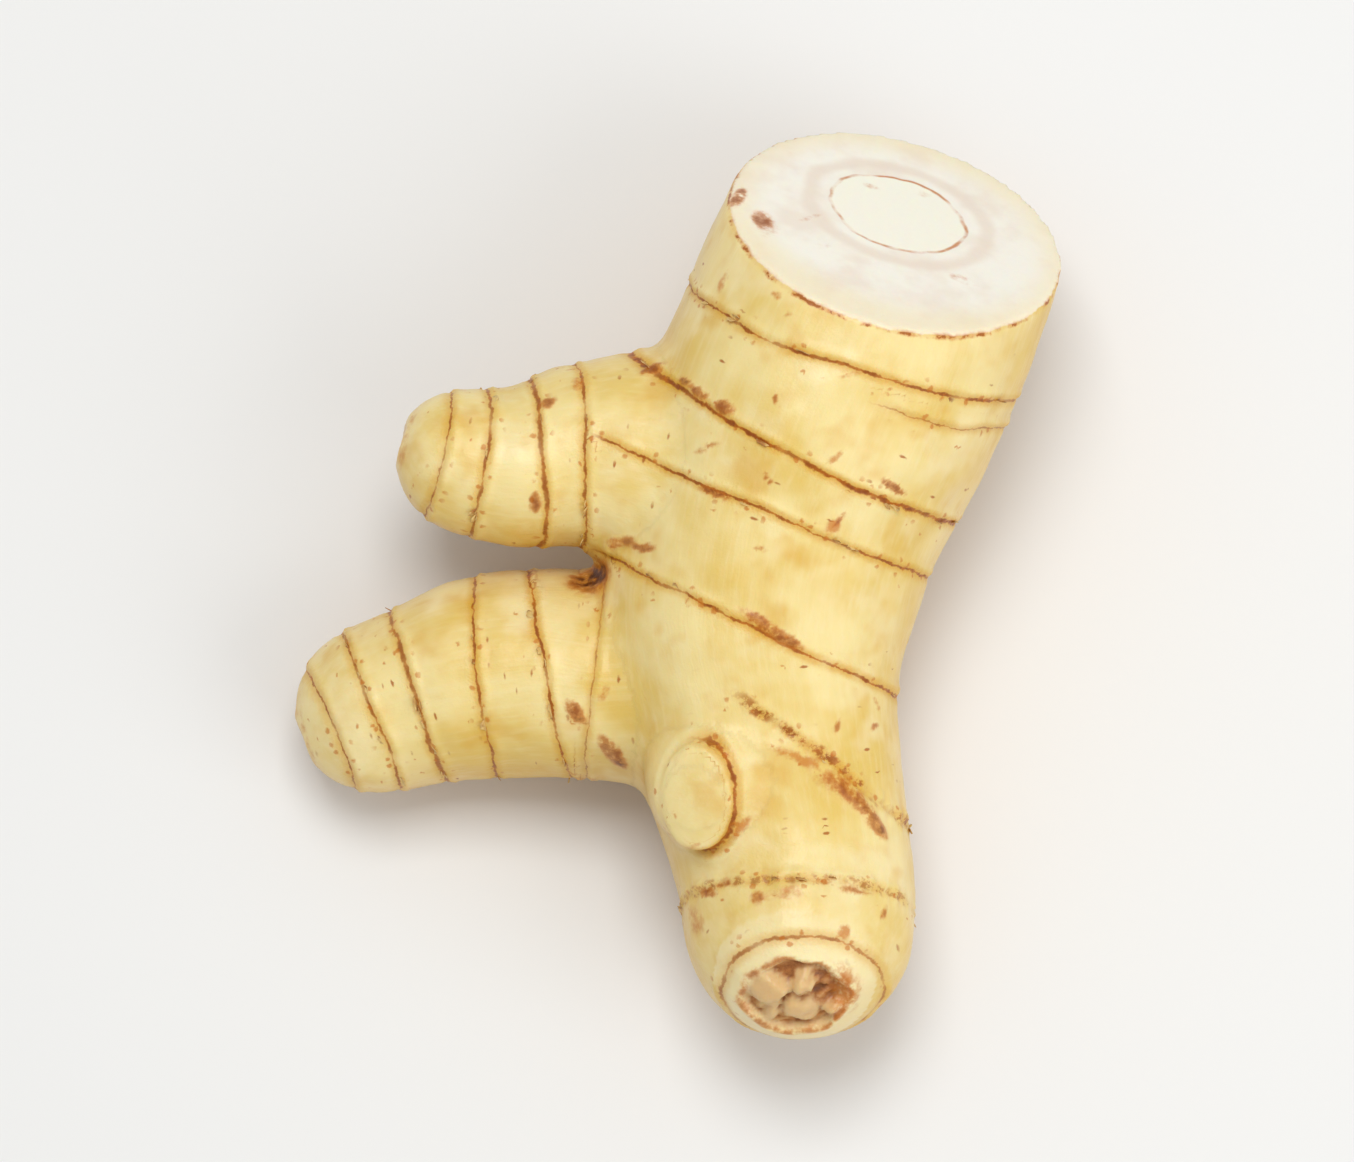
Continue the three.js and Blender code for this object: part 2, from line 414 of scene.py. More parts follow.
BLEMISHES = (
    # Knots and tears along the strongest leaf scar.
    Blemish(-2.4, 19.0, 1.3, 0.6, 20, Tone.BROWN, 1.0, 0.30),
    Blemish(0.8, 17.0, 1.0, 0.4, -40, Tone.DARK, 0.6, 0.20),
    Blemish(2.2, 15.6, 1.3, 0.4, -40, Tone.BROWN, 1.0, 0.20),
    Blemish(4.7, 13.7, 1.2, 0.6, -30, Tone.BROWN, 1.0, 0.25),
    Blemish(15.6, 8.3, 1.5, 0.35, 35, Tone.ORANGE, 0.9, 0.10),
    Blemish(21.5, 6.0, 1.6, 0.35, -24, Tone.BROWN, 0.9, 0.15),
    # The next two leaf scars.
    Blemish(3.7, 5.5, 1.7, 0.35, -25, Tone.BROWN, 0.9, 0.10),
    Blemish(15.4, 1.9, 0.9, 0.7, 50, Tone.ORANGE, 1.0, 0.10),
    Blemish(16.1, 2.7, 0.9, 0.25, 50, Tone.BROWN, 0.8, 0.10),
    Blemish(8.2, -7.2, 1.8, 0.5, -35, Tone.BROWN, 0.9, 0.10),
    Blemish(10.6, -8.9, 2.0, 0.6, -28, Tone.BROWN, 0.9, 0.10),
    Blemish(8.5, -7.6, 3.2, 0.9, -30, Tone.ORANGE, 0.7, 0.00),
    Blemish(-3.2, 0.9, 1.8, 0.4, -15, Tone.BROWN, 0.8, 0.10),
    Blemish(-5.6, 1.9, 1.8, 0.5, -5, Tone.BROWN, 0.7, 0.15),
    # The fibrous scar between the bud and the finger.
    Blemish(17.0, -23.6, 3.6, 0.8, -36, Tone.BROWN, 0.65, 0.25),
    Blemish(15.6, -22.4, 4.6, 1.5, -34, Tone.ORANGE, 0.75, 0.15),
    Blemish(19.6, -26.2, 2.0, 0.7, -45, Tone.BROWN, 0.8, 0.20),
    Blemish(20.4, -27.2, 1.1, 0.4, -50, Tone.DARK, 0.5, 0.10),
    Blemish(10.8, -19.9, 3.0, 0.5, -22, Tone.ORANGE, 0.7, 0.10),
    Blemish(13.2, -19.2, 1.8, 0.4, -15, Tone.ORANGE, 0.6, 0.05),
    # The painted shade in the fork's hollow, dark in the middle and brown round it, and the stains on the
    # lower shoot's base.
    Blemish(-8.6, -0.5, 1.7, 1.2, 10, Tone.DARK, 1.0, -0.40),
    Blemish(-8.6, -0.8, 2.6, 1.9, 10, Tone.BROWN, 0.8, 0.00),
    Blemish(-6.4, 1.6, 1.0, 0.7, 0, Tone.ORANGE, 0.6, 0.50),
    Blemish(-10.4, -14.6, 1.1, 0.6, -50, Tone.BROWN, 1.0, 0.15),
    Blemish(-9.6, -15.6, 0.9, 0.4, -20, Tone.DARK, 0.5, 0.15),
    Blemish(-6.6, -18.4, 1.8, 0.7, -50, Tone.BROWN, 1.0, 0.20),
    Blemish(-5.6, -19.4, 1.0, 0.5, -60, Tone.DARK, 0.5, 0.15),
    Blemish(-7.4, -13.2, 1.0, 0.5, 60, Tone.ORANGE, 0.8, 0.05),
    # The finger's broken scar.
    Blemish(1.9, -35.8, 0.9, 2.0, 20, Tone.ORANGE, 0.7, 0.00),
    Blemish(3.2, -33.3, 1.2, 0.4, -20, Tone.BROWN, 0.7, 0.10),
    Blemish(4.8, -32.5, 0.9, 0.4, 10, Tone.BROWN, 0.7, 0.10),
    Blemish(10.6, -33.8, 2.2, 0.9, 8, Tone.ORANGE, 0.75, 0.10),
    Blemish(8.0, -34.2, 0.7, 0.7, 0, Tone.BROWN, 0.6, 0.10),
    Blemish(14.8, -32.4, 1.8, 0.4, 14, Tone.ORANGE, 0.8, 0.10),
    Blemish(17.6, -33.4, 2.0, 0.3, -4, Tone.BROWN, 0.6, 0.10),
    Blemish(16.4, -37.8, 1.2, 0.7, 60, Tone.ORANGE, 1.0, 0.05),
    Blemish(20.6, -35.4, 0.9, 0.3, 70, Tone.BROWN, 0.6, 0.05),
    # The bud's edge.
    Blemish(6.4, -27.2, 1.4, 0.6, 50, Tone.ORANGE, 1.0, 0.00),
    Blemish(-0.2, -26.0, 0.8, 0.2, -60, Tone.ORANGE, 0.7, 0.00),
    Blemish(1.6, -29.0, 1.0, 0.3, 20, Tone.ORANGE, 0.7, 0.00),
    # Loose tears on the stem and the upper shoot.
    Blemish(2.9, 9.9, 1.4, 0.25, 5, Tone.BROWN, 0.8, 0.05),
    Blemish(9.0, 6.4, 0.7, 0.22, -60, Tone.BROWN, 0.9, 0.05),
    Blemish(9.8, 13.8, 0.6, 0.2, -70, Tone.BROWN, 0.8, 0.05),
    Blemish(8.2, -0.2, 0.8, 0.22, -20, Tone.BROWN, 0.7, 0.05),
    Blemish(17.2, 16.2, 1.6, 0.3, 10, Tone.ORANGE, 0.7, 0.05),
    Blemish(20.0, -14.2, 1.3, 0.25, -60, Tone.ORANGE, 0.7, 0.05),
    Blemish(15.9, -17.2, 0.8, 0.3, 70, Tone.BROWN, 0.7, 0.05),
    Blemish(19.8, -16.6, 0.6, 0.3, 20, Tone.BROWN, 0.7, 0.05),
    Blemish(-10.0, 17.6, 0.7, 1.0, 10, Tone.ORANGE, 0.9, 0.20),
    Blemish(-13.0, 15.6, 1.0, 0.6, 30, Tone.BROWN, 0.6, 0.10),
    Blemish(-14.2, 5.6, 0.5, 1.0, 0, Tone.BROWN, 0.9, 0.10),
    Blemish(4.6, 26.8, 0.5, 1.3, -25, Tone.ORANGE, 0.8, 0.05),
    Blemish(9.8, 24.4, 0.8, 0.4, -30, Tone.ORANGE, 0.8, 0.05),
    Blemish(11.0, 22.4, 0.6, 0.4, 0, Tone.ORANGE, 0.7, 0.05),
    # The bruise and the peeled skin at the rim of the cut, and smudges on its flesh.
    Blemish(8.6, 33.8, 1.0, 1.3, 20, Tone.BROWN, 0.80, -0.10),
    Blemish(8.9, 33.0, 1.6, 1.9, 20, Tone.ORANGE, 0.45, 0.00),
    Blemish(6.2, 36.6, 0.6, 1.7, -20, Tone.BROWN, 0.9, 0.15),
    Blemish(13.2, 34.6, 2.0, 0.4, 25, Tone.ORANGE, 0.50, 0.00),
    Blemish(19.8, 39.8, 1.1, 0.5, -10, Tone.ORANGE, 0.50, 0.00),
    Blemish(25.4, 39.3, 1.2, 0.5, -25, Tone.ORANGE, 0.45, 0.00),
    Blemish(28.6, 28.0, 2.0, 0.6, -20, Tone.ORANGE, 0.55, 0.00),
    Blemish(14.6, 31.0, 0.9, 0.7, 20, Tone.ORANGE, 0.45, 0.00),
)


@dataclass(frozen=True)
class Lobe:
    """A lump or a pit in the scar at the finger's end, in the scar's own plane, in millimetres."""

    right: float
    up: float
    radius: float
    height: float


TIP_LOBES = (
    Lobe(-2.9, 1.0, 2.6, 1.5),
    Lobe(0.8, 2.2, 1.4, 1.5),
    Lobe(0.6, -1.9, 2.0, 0.8),
    Lobe(3.9, -1.4, 1.4, 1.4),
    Lobe(-2.4, -2.4, 1.3, 0.8),
    Lobe(-0.9, -0.3, 0.8, -0.6),
    Lobe(2.4, 0.3, 0.8, -0.5),
)


class Sculpt:
    """The rhizome's surface as arrays of points that are moved, with what each move leaves behind.

    Attributes:
        mesh: The mesh that is worked on, in millimetres.
        places: Its points.
        grain_places: Each point's place in its own shoot: across, up and along, in millimetres.
        marks: The values that go with the points to the shaders, by attribute name.
    """

    LINE_RANGE = 1.9
    LINE_FADED = 1.3
    LINE_FULL = 0.6
    SCAR_VALLEY = 0.20
    SCAR_LIP = 0.24
    BUD_FLAT = 0.7
    CLEARANCE = 0.02
    LOBE_BEND = 1.3

    def __init__(self, mesh: bpy.types.Mesh) -> None:
        """Reads the points of a mesh.

        Args:
            mesh: The mesh, in millimetres.
        """
        self.mesh = mesh
        count = len(mesh.vertices)
        flat = np.zeros(count * 3, np.float32)
        mesh.vertices.foreach_get("co", flat)
        self.places = flat.reshape(-1, 3).astype(float)
        self.grain_places = np.zeros_like(self.places)
        self.marks: dict[str, np.ndarray] = {tone.value: np.zeros(count) for tone in Tone}

    def normals(self) -> np.ndarray:
        """The surface's outward direction at each point."""
        flat = np.zeros(len(self.mesh.vertices) * 3, np.float32)
        self.mesh.vertex_normals.foreach_get("vector", flat)
        return flat.reshape(-1, 3).astype(float)

    def commit(self) -> None:
        """Puts the moved points back on the mesh."""
        self.mesh.vertices.foreach_set("co", self.places.astype(np.float32).ravel())
        self.mesh.update()

    def raise_by(self, height: np.ndarray) -> None:
        """Moves every point outwards by its own height, in millimetres."""
        self.places = self.places + self.normals() * height[:, None]
        self.commit()

    def on_cut(self) -> np.ndarray:
        """How much each point belongs to the cut face, from 0 to 1."""
        return smooth_step(-0.7, -0.2, CUT.local(self.places)[2])

    def grain(self) -> None:
        """Marks each point with its place in its own shoot: across, up, and along the growth."""
        best = np.full(len(self.places), 1e9)
        grain = np.zeros_like(self.places)
        samples = 60
        for shoot in SHOOTS:
            shares = [i / samples for i in range(samples)]
            middles = np.array([shoot.middle(share) for share in shares])
            lengths = np.concatenate(([0.0], np.cumsum(np.linalg.norm(np.diff(middles, axis=0), axis=1))))
            nearest = np.full(len(self.places), 1e9)
            which = np.zeros(len(self.places), int)
            for index, middle in enumerate(middles):
                away = np.linalg.norm(self.places - middle, axis=1)
                closer = away < nearest
                nearest[closer] = away[closer]
                which[closer] = index
            turns = np.array([shoot.section(share).to_3x3() for share in shares])
            girths = np.array([max(shoot.girth(share).x, 1.0) for share in shares])
            offsets = self.places - middles[which]
            local = np.einsum("nij,ni->nj", turns[which], offsets)
            local[:, 2] += lengths[which]
            fit = nearest / girths[which]
            own = fit < best
            best[own] = fit[own]
            grain[own] = local[own]
        self.grain_places = grain

    def lump(self) -> None:
        """Gives the skin the slow swell and small dents of something that grew."""
        height = 0.38 * noise_field(self.places, 10.0, 1.0) + 0.13 * noise_field(self.places, 3.6, 4.0)
        height += 0.03 * noise_field(self.places, 1.3, 8.0)
        self.raise_by(height * (1.0 - self.on_cut()))

    def scar_lines(self) -> None:
        """Sinks the leaf scars into the skin, and marks how far and how dark the nearest one is."""
        height = np.zeros(len(self.places))
        line = np.full(len(self.places), self.LINE_RANGE)
        ink = np.zeros(len(self.places))
        width = np.full(len(self.places), 0.15)
        skin = 1.0 - self.on_cut()
        for leaf_scar in LEAF_SCARS:
            near = np.abs(leaf_scar.seat.local(self.places)[2]) < 4.0
            near &= leaf_scar.presence(self.places) > 0.0
            index = np.flatnonzero(near)
            places = self.places[index]
            away = leaf_scar.distance(places)
            presence = leaf_scar.presence(places) * skin[index]
            torn = leaf_scar.kind.raggedness
            broken = 1.0 - torn * smooth_step(0.0, 0.45, noise_field(places, 3.0, leaf_scar.seed + 3.0))
            lip = self.SCAR_LIP * bell(away - 0.5, 0.45) * broken
            height[index] += presence * (lip - self.SCAR_VALLEY * bell(away, 0.4) - 0.10 * bell(away, 2.4))
            if leaf_scar.kind is ScarKind.FIBROUS:
                fibres = noise_field(places, 0.9, leaf_scar.seed + 5.0)
                height[index] += presence * 0.34 * fibres * bell(away, 1.2)
            closer = np.abs(away) < np.abs(line[index])
            chosen = index[closer]
            line[chosen] = away[closer]
            fade = smooth_step(self.LINE_FADED, self.LINE_FULL, np.abs(away))
            ink[chosen] = (presence * broken * leaf_scar.ink * fade)[closer]
            width[chosen] = leaf_scar.kind.half_width
        self._bud_crease(height, line, ink)
        self.raise_by(height)
        self.marks["scar_distance"] = line
        self.marks["scar_ink"] = ink
        self.marks["scar_width"] = width

    def _bud_crease(self, height: np.ndarray, line: np.ndarray, ink: np.ndarray) -> None:
        """Adds the crease round the bud's cap to what the leaf scars do.

        Args:
            height: How far each point is raised; changed in place.
            line: How far each point is from the nearest line; changed in place.
            ink: How dark that line is; changed in place.
        """
        right, up, outward = BUD_CAP.local(self.places)
        wide, tall, _ = BUD_CAP_HALF_SIZES
        share = np.hypot(right / wide, up / tall)
        away = (share - 1.0) * 0.5 * (wide + tall)
        angle = np.degrees(np.arctan2(up, right))
        near = (np.abs(outward) < 6.0) & (np.abs(away) < 3.0)
        side = smooth_step(-115.0, -85.0, angle) * smooth_step(110.0, 70.0, angle)
        crease = -0.35 * bell(away, 0.4) + 0.20 * bell(away - 0.7, 0.35)
        height[near] += (crease * (0.35 + 0.65 * side))[near]
        closer = near & (np.abs(away) < np.abs(line)) & (np.abs(away) < 1.2)
        line[closer] = away[closer]
        ink[closer] = (0.9 * side * smooth_step(self.LINE_FADED, self.LINE_FULL, np.abs(away)))[closer]

    def tip_crater(self) -> None:
        """Sinks the torn scar into the finger's end, with the lobes of broken tissue in it."""
        right, up, outward = TIP_SCAR.local(self.places)
        wide, tall = TIP_SCAR_HALF_SIZES
        stray = 0.16 * noise_field(self.places, 2.5, 21.0)
        share = np.hypot(right / wide, up / tall) + stray
        close = np.flatnonzero((share < 1.6) & (outward > -5.0))
        bent_right = right + self._bend(close, 23.0)
        bent_up = up + self._bend(close, 27.0)
        near = outward > -5.0
        inside = smooth_step(1.02, 0.86, share) * near
        depth = -1.1 * inside
        for lobe in TIP_LOBES:
            away = np.hypot(bent_right - lobe.right, bent_up - lobe.up)
            depth += lobe.height * smooth_step(lobe.radius * 1.15, lobe.radius * 0.35, away) * inside
        depth += 0.30 * bell(share - 1.12, 0.10) * near
        depth += 0.26 * noise_field(self.places, 1.1, 31.0) * inside
        self.places = self.places + np.array(TIP_SCAR.directions()[2]) * depth[:, None]
        self.commit()
        self.marks["torn"] = inside.astype(float)
        self.marks["torn_depth"] = inside * smooth_step(-0.35, -1.35, depth)
        self.marks["young"] = smooth_step(2.7, 1.3, share) * near
        rim = bell(share - 1.04, 0.09) * near
        self.marks[Tone.BROWN.value] += 0.55 * rim
        self.marks[Tone.ORANGE.value] += smooth_step(1.5, 1.0, share) * near * smooth_step(2.0, 5.0, right)

    def _bend(self, close: np.ndarray, seed: float) -> np.ndarray:
        """How far each of the chosen points is shifted, in millimetres, to bend a lobe out of round.

        Args:
            close: The chosen points' numbers.
            seed: The seed of the noise.

        Returns:
            The shift of every point, which is 0 for those that aren't chosen.
        """
        shift = np.zeros(len(self.places))
        places = self.places[close]
        shift[close] = noise_field(places, 1.9, seed) + 0.4 * noise_field(places, 0.8, seed + 2.0)
        return self.LOBE_BEND * shift

    def shoot_tips(self) -> None:
        """Gives each side shoot the small dry scar that its last scale leaf left."""
        height = np.zeros(len(self.places))
        for shoot in (UPPER_SHOOT, LOWER_SHOOT):
            away = np.linalg.norm(self.places - np.array(shoot.tip), axis=1)
            away = away + 0.5 * noise_field(self.places, 2.0, 41.0)
            height += 0.12 * bell(away - 2.6, 0.6) - 0.55 * bell(away, 1.5)
            height += 0.10 * noise_field(self.places, 0.8, 43.0) * smooth_step(2.8, 1.6, away)
            self.marks["torn"] += 0.9 * smooth_step(2.6, 1.3, away)
            self.marks["torn_depth"] += 0.75 * smooth_step(2.0, 0.4, away)
            self.marks[Tone.ORANGE.value] += 0.6 * bell(away - 3.2, 1.0)
        self.raise_by(height)

    def flatten_bud(self) -> None:
        """Presses the bud's cap flat, so that it sits in its swelling like a button."""
        right, up, outward = BUD_CAP.local(self.places)
        wide, tall, _ = BUD_CAP_HALF_SIZES
        near = np.hypot(right / wide, up / tall) < 1.5
        proud = np.where(near, np.maximum(outward - self.BUD_FLAT, 0.0), 0.0)
        self.places = self.places - np.array(BUD_CAP.directions()[2]) * (0.6 * proud)[:, None]
        self.commit()

    def blemishes(self) -> None:
        """Stains the skin, paints the shade in the fork's hollow, and raises or sinks it where a blemish
        does.
        """
        self.commit()
        tree = self.surface_tree()
        height = np.zeros(len(self.places))
        above = 100.0
        for spot in BLEMISHES:
            hit = tree.ray_cast(Vector((spot.x, spot.y, above)), Vector((0.0, 0.0, -1.0)))[0]
            if hit is None:
                raise ValueError(f"no skin under the blemish at {spot.x}, {spot.y}")
            offsets = self.places - np.array(hit)
            turn = math.radians(spot.turn)
            along = offsets[:, 0] * math.cos(turn) + offsets[:, 1] * math.sin(turn)
            aside = -offsets[:, 0] * math.sin(turn) + offsets[:, 1] * math.cos(turn)
            sunk = offsets[:, 2] / (spot.length + spot.breadth)
            share = np.sqrt((along / spot.length) ** 2 + (aside / spot.breadth) ** 2 + sunk**2)
            amount = smooth_step(1.5, 0.4, share)
            height += spot.relief * amount
            self.marks[spot.tone.value] += spot.strength * amount
        self.raise_by(height)

    def settle(self) -> None:
        """Beds the underside down on the floor, and keeps every point inside the part's own box."""
        low, high = (np.array(corner) / MILLIMETRE for corner in CAD_BOX)
        self.places = np.clip(self.places, low + self.CLEARANCE * (low < -1.0), high - self.CLEARANCE)
        self.commit()

    def hollows(self) -> None:
        """Marks how sunk each point is among its neighbours, and how far it faces down, from 0 to 1: the
        masks of the painted shade in the skin's hollows and on its underside.
        """
        bench = bmesh.new()
        bench.from_mesh(self.mesh)
        eased(bench, rounds=24)
        even = np.array([vert.co for vert in bench.verts])
        bench.free()
        sunk = np.einsum("ij,ij->i", even - self.places, self.normals())
        self.marks["hollow"] = smooth_step(0.02, 0.45, sunk)
        self.marks["underside"] = smooth_step(0.80, -0.5, self.normals()[:, 2]) * (1.0 - self.on_cut())

    def store(self) -> None:
        """Writes every mark onto the mesh as an attribute."""
        for name, values in self.marks.items():
            layer = self.mesh.attributes.new(name, "FLOAT", "POINT")
            layer.data.foreach_set("value", values.astype(np.float32))
        layer = self.mesh.attributes.new("grain", "FLOAT_VECTOR", "POINT")
        layer.data.foreach_set("vector", self.grain_places.astype(np.float32).ravel())

    def surface_tree(self) -> BVHTree:
        """The surface as a tree that rays can be cast at."""
        bench = bmesh.new()
        bench.from_mesh(self.mesh)
        tree = BVHTree.FromBMesh(bench)
        bench.free()
        return tree


def remeshed(bench: bmesh.types.BMesh, voxel: float) -> bmesh.types.BMesh:
    """Grows every overlapping shell in a mesh together into one even skin.

    Args:
        bench: The mesh, which is freed.
        voxel: The size of the new faces, in millimetres.

    Returns:
        The new mesh.
    """
    mesh = bpy.data.meshes.new("growing")
    bench.to_mesh(mesh)
    bench.free()
    piece = bpy.data.objects.new("growing", mesh)
    bpy.context.scene.collection.objects.link(piece)
    remesh = piece.modifiers.new("skin", "REMESH")
    remesh.mode = "VOXEL"
    remesh.voxel_size = voxel
    graph = bpy.context.evaluated_depsgraph_get()
    grown = bpy.data.meshes.new_from_object(piece.evaluated_get(graph))
    result = bmesh.new()
    result.from_mesh(grown)
    bpy.data.objects.remove(piece)
    bpy.data.meshes.remove(mesh)
    bpy.data.meshes.remove(grown)
    return result


def eased(bench: bmesh.types.BMesh, rounds: int) -> None:
    """Eases the whole surface of a mesh a number of times."""
    for _ in range(rounds):
        bmesh.ops.smooth_vert(bench, verts=bench.verts, factor=0.5,
                              use_axis_x=True, use_axis_y=True, use_axis_z=True)


class Nodes:
    """A short way to lay out a material's nodes."""

    def __init__(self, name: str) -> None:
        """Starts a material with one principled shader.

        Args:
            name: The material's name.
        """
        self.material = bpy.data.materials.new(name)
        self.material.use_nodes = True
        self.tree = self.material.node_tree
        self.shader = self.tree.nodes["Principled BSDF"]

    def add(self, kind: str, inputs: dict | None = None, **settings: object) -> bpy.types.Node:
        """Adds a node.

        Args:
            kind: The node's type.
            inputs: What goes into its sockets, by name or number: a value, or another node's socket.
            settings: Its own properties.

        Returns:
            The node.
        """
        node = self.tree.nodes.new(kind)
        for key, value in settings.items():
            setattr(node, key, value)
        for key, value in (inputs or {}).items():
            self.feed(node.inputs[key], value)
        return node

    def feed(self, socket: bpy.types.NodeSocket, value: object) -> None:
        """Links a socket to another, or sets it to a value."""
        if isinstance(value, bpy.types.NodeSocket):
            self.tree.links.new(value, socket)
        else:
            socket.default_value = value

    def mark(self, name: str) -> bpy.types.NodeSocket:
        """The value of one of the mesh's own attributes."""
        return self.add("ShaderNodeAttribute", attribute_name=name).outputs["Fac"]

    def place(self, name: str) -> bpy.types.NodeSocket:
        """The value of one of the mesh's own vector attributes."""
        return self.add("ShaderNodeAttribute", attribute_name=name).outputs["Vector"]

    def math(self, operation: str, first: object, second: object = 0.0) -> bpy.types.NodeSocket:
        """One sum on two values."""
        return self.add("ShaderNodeMath", {0: first, 1: second}, operation=operation).outputs[0]

    def length(self, first: object, second: object) -> bpy.types.NodeSocket:
        """How long a step of first one way and second the other way is."""
        squares = self.math("ADD", self.math("MULTIPLY", first, first), self.math("MULTIPLY", second, second))
        return self.math("SQRT", squares)

    def step(self, value: object, low: object, high: object) -> bpy.types.NodeSocket:
        """A soft step from 0 at low to 1 at high."""
        node = self.add("ShaderNodeMapRange", {"Value": value, "From Min": low, "From Max": high},
                        interpolation_type="SMOOTHSTEP")
        return node.outputs["Result"]

    def blend(self, share: object, first: object, second: object) -> bpy.types.NodeSocket:
        """The first colour turning to the second as the share goes from 0 to 1."""
        node = self.add("ShaderNodeMix", {"Factor": share, 6: first, 7: second}, data_type="RGBA")
        return node.outputs[2]

    def grains(self, where: object, scale: float, detail: float = 3.0, rough: float = 0.55) -> object:
        """Noise at a place; the scale counts lumps in a millimetre where the place is in them."""
        node = self.add("ShaderNodeTexNoise", {"Vector": where, "Scale": scale, "Detail": detail,
                                               "Roughness": rough})
        return node.outputs["Fac"]

    def stretched(self, where: object, scale: Point, location: Point = (0.0, 0.0, 0.0),
                  rotation: Point = (0.0, 0.0, 0.0)) -> bpy.types.NodeSocket:
        """A place scaled, turned and shifted."""
        node = self.add("ShaderNodeMapping", {"Vector": where, "Scale": scale, "Location": location,
                                              "Rotation": rotation})
        return node.outputs["Vector"]


@dataclass(frozen=True)
class RhizomeFinish:
    """Fresh galangal: a thin waxy skin with brown leaf scars, and white flesh where it is cut."""

    pale: Colour = srgb(242, 222, 156)
    cream: Colour = srgb(248, 234, 188)
    yellow: Colour = srgb(228, 196, 104)
    golden: Colour = srgb(218, 161, 28)
    amber_shade: Colour = srgb(170, 104, 10)
    orange: Colour = srgb(200, 116, 22)
    russet: Colour = srgb(172, 92, 14)
    brown: Colour = srgb(140, 66, 8)
    dark: Colour = srgb(74, 30, 6)
    tan: Colour = srgb(220, 182, 126)
    cortex: Colour = srgb(253, 246, 232)
    cortex_shade: Colour = srgb(238, 222, 204)
    cortex_edge: Colour = srgb(246, 228, 180)
    core: Colour = srgb(255, 249, 230)
    core_radius: float = 7.1
    core_up: float = 2.6

    def material(self) -> bpy.types.Material:
        """Builds the material.

        Returns:
            The material, which reads the marks on the rhizome's mesh.
        """
        nodes = Nodes("galangal_rhizome")
        where = nodes.add("ShaderNodeTexCoord").outputs["Object"]
        place = nodes.stretched(where, (1000.0, 1000.0, 1000.0))
        grain = nodes.place("grain")

        skin = self._skin(nodes, place, grain)
        flesh = self._flesh(nodes, place)
        cut = self._cut_share(nodes, place)
        whole = self._rim(nodes, place, nodes.blend(cut, skin, flesh))
        whole = self._torn(nodes, place, whole)
        nodes.feed(nodes.shader.inputs["Base Color"], self._stains(nodes, place, whole))
        self._gloss(nodes, place, cut)
        self._bump(nodes, grain, place)
        return nodes.material

    def _skin(self, nodes: Nodes, place: object, grain: object) -> bpy.types.NodeSocket:
        """The skin's colour, from its slow changes down to its scars and stains, with painted golden and
        amber shade in its hollows and on its underside, and cream streaks that are partly real grain and
        partly painted sheen.
        """
        slow = nodes.step(nodes.grains(place, 0.09, 3.0), 0.35, 0.68)
        colour = nodes.blend(slow, self.pale, self.yellow)
        # Cream streaks along the growth: partly the skin's real grain, partly a painted silky sheen.
        silk = nodes.stretched(grain, (1.6, 1.6, 0.12))
        grain_and_sheen_streaks = nodes.step(nodes.grains(silk, 1.0, 4.0, 0.55), 0.40, 0.85)
        colour = nodes.blend(nodes.math("MULTIPLY", grain_and_sheen_streaks, 0.26), colour, self.cream)
        clouds = nodes.step(nodes.grains(place, 0.13, 3.0), 0.50, 0.72)
        colour = nodes.blend(nodes.math("MULTIPLY", clouds, 0.45), colour, self.cream)
        warm = nodes.step(nodes.grains(place, 0.2, 2.0), 0.52, 0.75)
        colour = nodes.blend(nodes.math("MULTIPLY", warm, 0.42), colour, self.golden)
        # Painted shade in the hollows: golden where the skin is sunk, amber where it is sunk most.
        hollow = nodes.math("MULTIPLY", nodes.mark("hollow"), 0.80)
        colour = nodes.blend(hollow, colour, self.golden)
        shade = nodes.math("MULTIPLY", nodes.step(nodes.mark("hollow"), 0.45, 1.0), 0.40)
        colour = nodes.blend(shade, colour, self.amber_shade)
        # Painted shade on the underside: skin that faces down turns golden, and the most downward skin turns
        # amber.
        under = nodes.math("MULTIPLY", nodes.mark("underside"), 0.68)
        colour = nodes.blend(under, colour, self.golden)
        deep = nodes.math("MULTIPLY", nodes.step(nodes.mark("underside"), 0.55, 1.0), 0.30)
        colour = nodes.blend(deep, colour, self.amber_shade)
        colour = nodes.blend(nodes.math("MULTIPLY", nodes.mark("young"), 0.60), colour, self.cream)
        colour = self._scars(nodes, place, colour)
        return self._specks(nodes, grain, colour)

    def _scars(self, nodes: Nodes, place: object, colour: object) -> bpy.types.NodeSocket:
        """The leaf scars: a golden margin with a torn brown line in it."""
        distance = nodes.mark("scar_distance")
        ink = nodes.mark("scar_ink")
        width = nodes.mark("scar_width")
        fray = nodes.math("MULTIPLY", nodes.math("SUBTRACT", nodes.grains(place, 1.5, 4.0), 0.5), 0.55)
        away = nodes.math("ABSOLUTE", nodes.math("ADD", distance, fray))
        margin = nodes.math("MULTIPLY", nodes.step(away, 1.1, 0.15), nodes.math("MULTIPLY", ink, 0.72))
        colour = nodes.blend(margin, colour, self.golden)
        uneven = nodes.step(nodes.grains(place, 0.55, 3.0), 0.30, 0.62)
        outer = nodes.math("MULTIPLY", width, nodes.math("ADD", uneven, 0.75))
        inner = nodes.math("MULTIPLY", outer, 0.3)
        line = nodes.math("MULTIPLY", nodes.step(away, outer, inner), ink)
        gaps = nodes.step(nodes.grains(place, 1.1, 6.0, 0.72), 0.58, 0.46)
        gaps = nodes.math("MULTIPLY", gaps, nodes.step(width, 0.24, 0.42))
        line = nodes.math("MULTIPLY", line, nodes.math("SUBTRACT", 1.0, gaps))
        colour = nodes.blend(line, colour, self.orange)
        core = nodes.math("MULTIPLY", line, nodes.math("MULTIPLY", uneven, 0.85))
        return nodes.blend(core, colour, self.brown)

